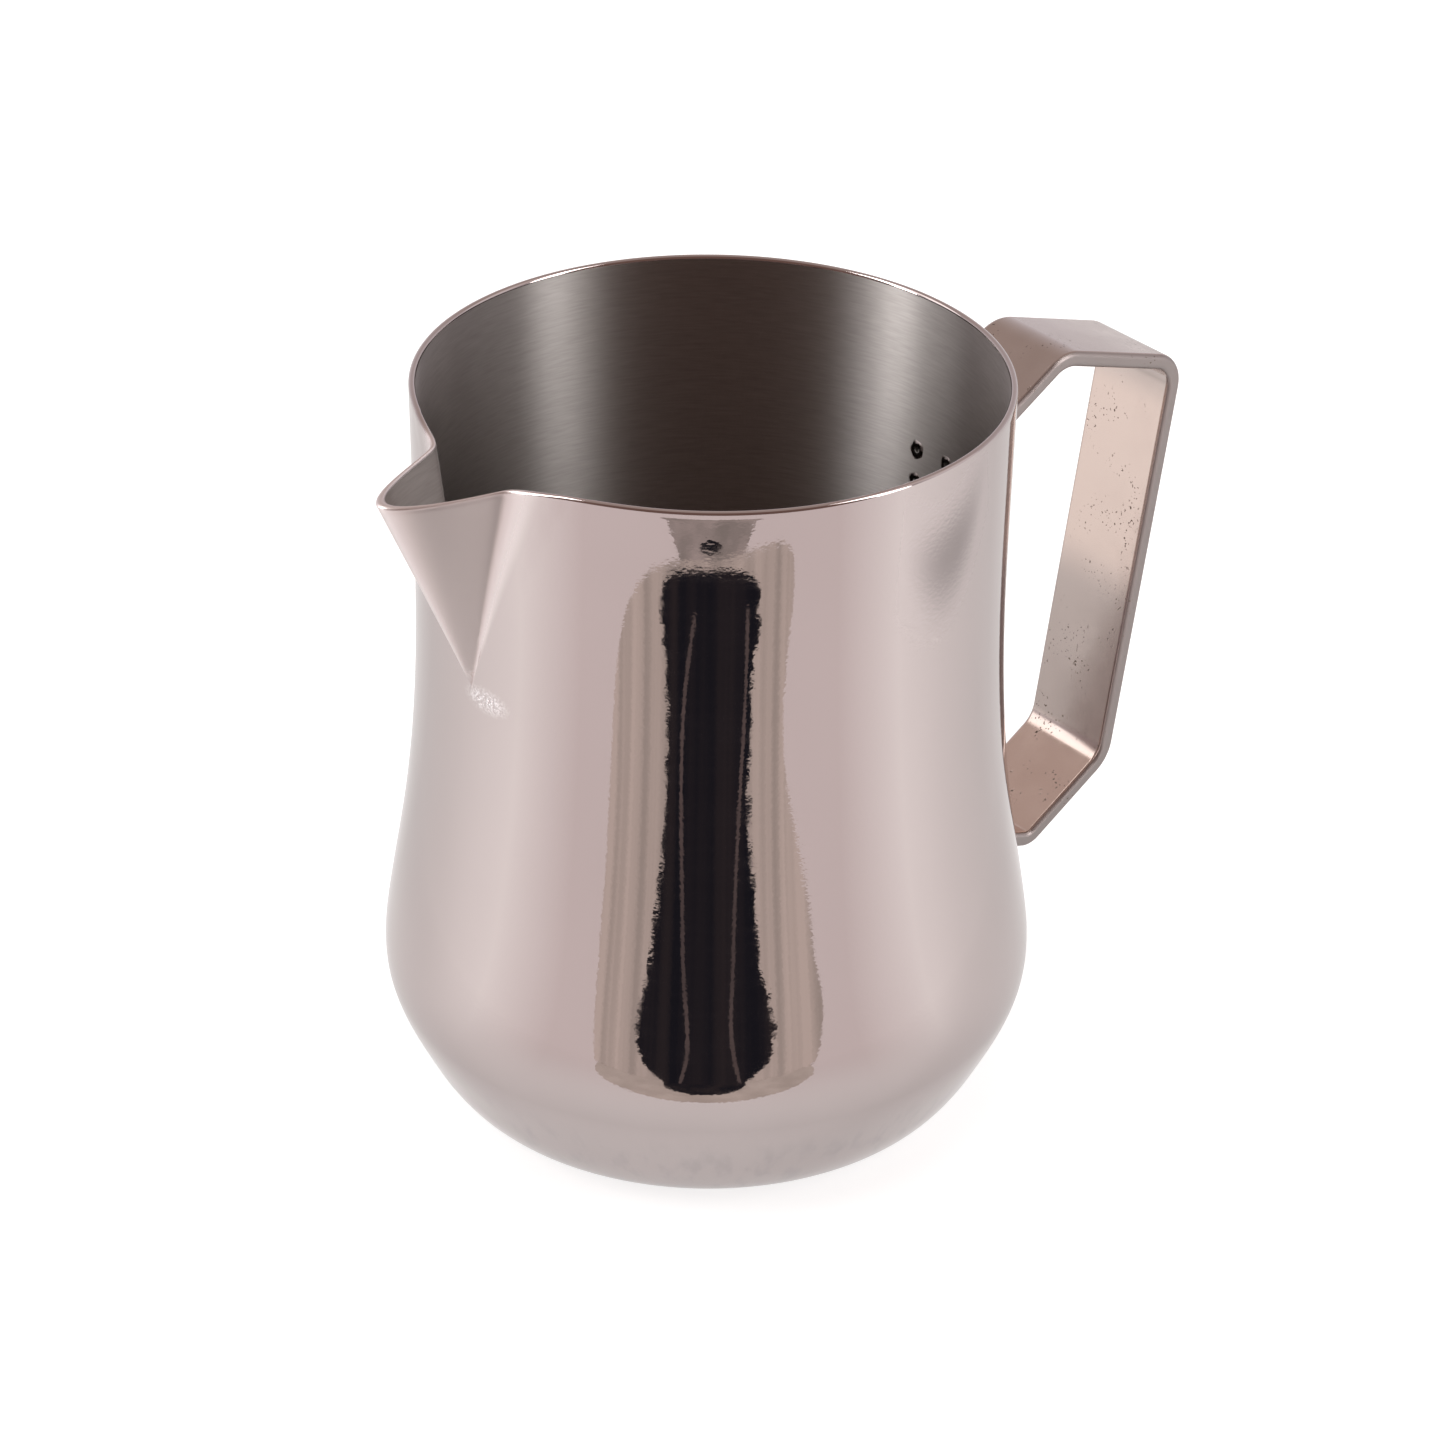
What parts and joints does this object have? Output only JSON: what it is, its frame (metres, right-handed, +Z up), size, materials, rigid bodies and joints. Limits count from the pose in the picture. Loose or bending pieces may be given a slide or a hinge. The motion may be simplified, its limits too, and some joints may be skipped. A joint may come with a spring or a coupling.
{
  "type": "milk frothing pitcher",
  "caption": "Stainless steel milk frothing pitcher: bellied drawn body, pinched V spout, open mouth and a bent flat strip handle welded opposite the spout.",
  "frame": {"origin": "centre of the flat base, on the axis of the round body", "axes": "+Z up along the body's axis, +X towards the handle, the spout points along -X, +Y completes the right-handed frame"},
  "size_m": [0.1283, 0.0868, 0.103],
  "materials": {
    "polished_steel": "mirror-polished stainless steel outside, satin-brushed inside",
    "strip_steel": "polished stainless steel strip with small pits on its inner face",
    "weld_steel": "heat-darkened spot weld"
  },
  "bodies": {
    "root": {"pitcher_body": "polished_steel", "strip_handle": "strip_steel", "upper_spot_weld_1": "weld_steel", "upper_spot_weld_2": "weld_steel", "upper_spot_weld_3": "weld_steel", "upper_spot_weld_4": "weld_steel", "lower_spot_weld_1": "weld_steel", "lower_spot_weld_2": "weld_steel", "lower_spot_weld_3": "weld_steel", "lower_spot_weld_4": "weld_steel"}
  },
  "joints": []
}
